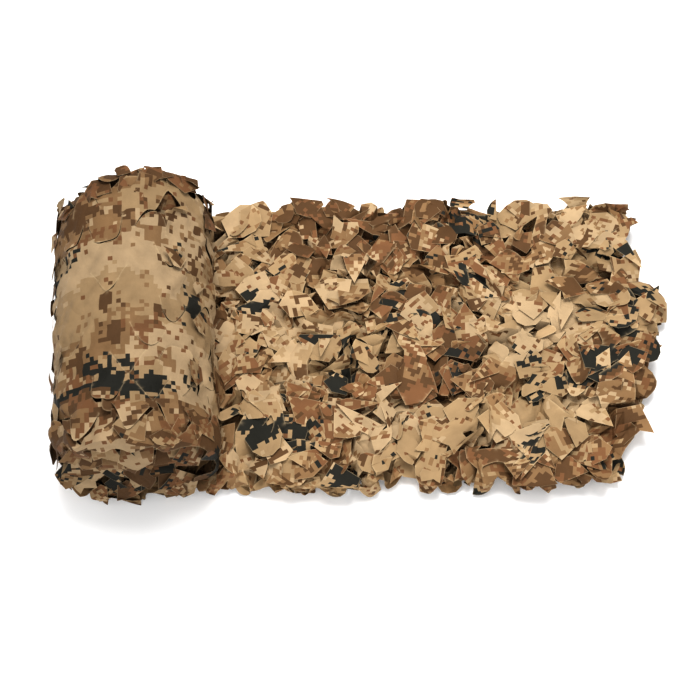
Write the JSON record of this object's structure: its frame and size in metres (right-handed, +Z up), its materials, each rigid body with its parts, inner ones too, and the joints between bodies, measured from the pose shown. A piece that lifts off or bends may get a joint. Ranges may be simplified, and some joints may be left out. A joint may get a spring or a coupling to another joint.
{
  "type": "camouflage netting",
  "caption": "Leaf-cut camouflage netting, folded lengthwise and part rolled up, its loose end laid out flat.",
  "frame": {"origin": "on the floor, under the middle of the whole's bounding box", "axes": "+X from the roll towards the loose end, +Y along the roll's axis, +Z up"},
  "size_m": [0.9296, 0.5102, 0.2176],
  "materials": {
    "wound_cloth": "matte printed polyester",
    "leaf_cloth": "matte printed polyester"
  },
  "bodies": {
    "root": {"wound_roll": "wound_cloth", "laid_net": "leaf_cloth"}
  },
  "joints": []
}
